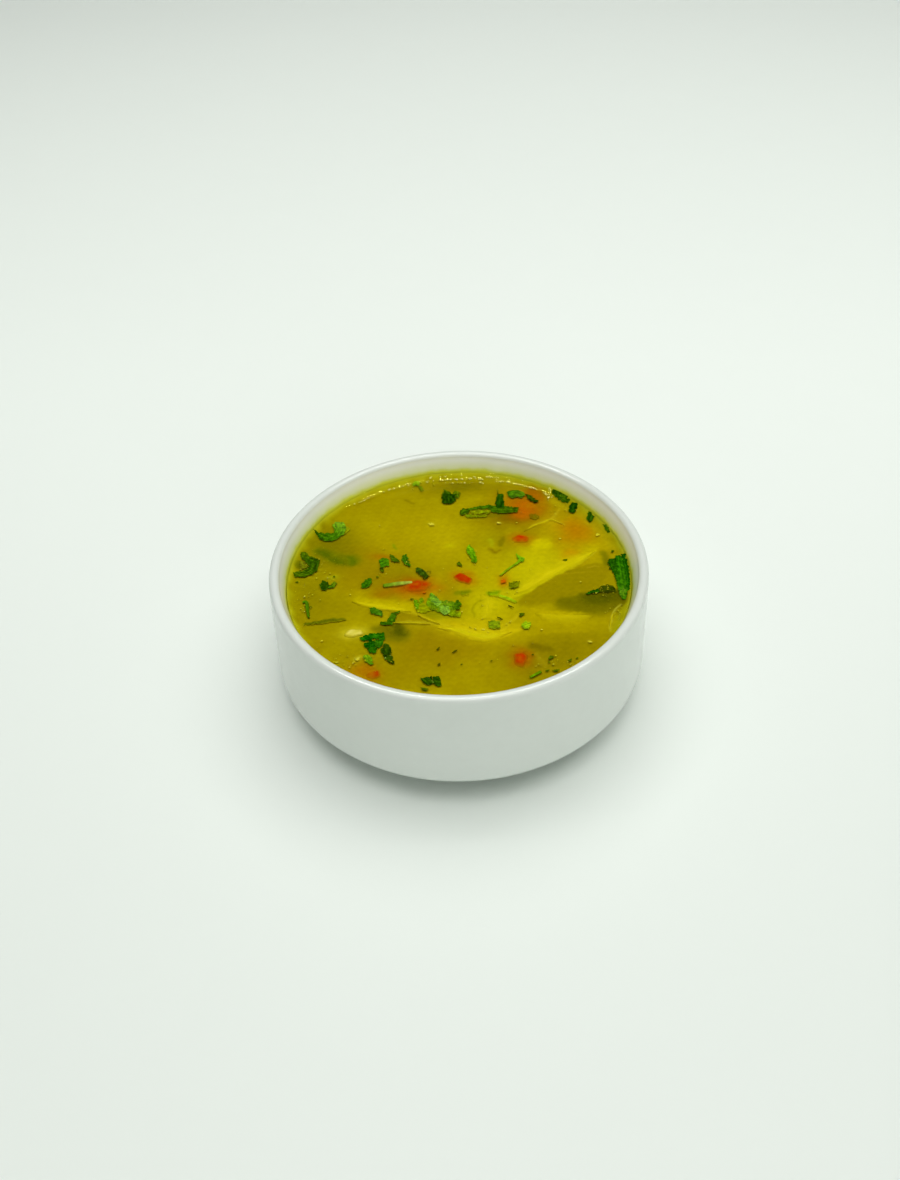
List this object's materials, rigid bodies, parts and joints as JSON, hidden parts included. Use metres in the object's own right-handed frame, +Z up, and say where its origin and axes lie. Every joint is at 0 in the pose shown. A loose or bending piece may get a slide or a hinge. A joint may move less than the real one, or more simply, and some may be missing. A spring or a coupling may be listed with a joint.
{
  "type": "bowl of lemon coriander chicken soup",
  "caption": "Straight-sided white porcelain bowl filled with yellow chicken broth, with shredded chicken, diced vegetables and chopped herbs lying in its surface.",
  "frame": {"origin": "centre of the foot ring's underside, the plane the bowl stands on", "axes": "+Z up along the bowl's axis of revolution; -Y is the side towards the viewer, with the garlic and the herb sprig on it"},
  "size_m": [0.142, 0.142, 0.0526],
  "materials": {
    "porcelain": "white glazed porcelain, glossy, plain",
    "broth": "clear yellow broth with a wet, mirror-like surface",
    "chicken": "wet shredded chicken stained yellow by the broth",
    "red_pepper": "wet diced red pepper",
    "carrot": "wet cooked carrot",
    "garlic": "soft cooked garlic",
    "herb_leaf": "wet coriander leaf",
    "herb_stalk": "wet coriander stalk"
  },
  "bodies": {
    "root": {"bowl": "porcelain", "broth": "broth", "carrot_back": "carrot", "chicken_band_left": "chicken", "chicken_band_right": "chicken", "chicken_centre": "chicken", "chicken_crest": "chicken", "chicken_fibre_long": "chicken", "chicken_fibre_short": "chicken", "chicken_fibre_wall": "chicken", "chicken_film": "chicken", "chicken_ridge": "chicken", "garlic": "garlic", "leaf_back": "herb_leaf", "leaf_back_bright": "herb_leaf", "leaf_block_left": "herb_leaf", "leaf_by_carrot": "herb_leaf", "leaf_chip_left": "herb_leaf", "leaf_crescent": "herb_leaf", "leaf_curl": "herb_leaf", "leaf_dark_front": "herb_leaf", "leaf_dark_middle": "herb_leaf", "leaf_fan": "herb_leaf", "leaf_fork": "herb_leaf", "leaf_front": "herb_leaf", "leaf_front_light": "herb_leaf", "leaf_left_small": "herb_leaf", "leaf_middle": "herb_leaf", "leaf_olive": "herb_leaf", "leaf_on_carrot": "herb_leaf", "leaf_pair": "herb_leaf", "leaf_right_dark": "herb_leaf", "leaf_round": "herb_leaf", "leaf_sprig": "herb_leaf", "leaf_square": "herb_leaf", "leaf_strip_left": "herb_leaf", "leaf_wall_back": "herb_leaf", "leaf_wall_right_a": "herb_leaf", "leaf_wall_right_b": "herb_leaf", "leaf_wall_right_c": "herb_leaf", "leaf_wall_right_d": "herb_leaf", "pepper_back": "red_pepper", "pepper_front": "red_pepper", "pepper_front_left": "red_pepper", "pepper_long": "red_pepper", "pepper_middle": "red_pepper", "stalk_back": "herb_leaf", "stalk_forked": "herb_stalk", "stalk_front": "herb_stalk", "stalk_left": "herb_stalk", "stalk_light": "herb_stalk", "stalk_middle": "herb_stalk", "stalk_pale": "herb_stalk"}
  },
  "joints": []
}
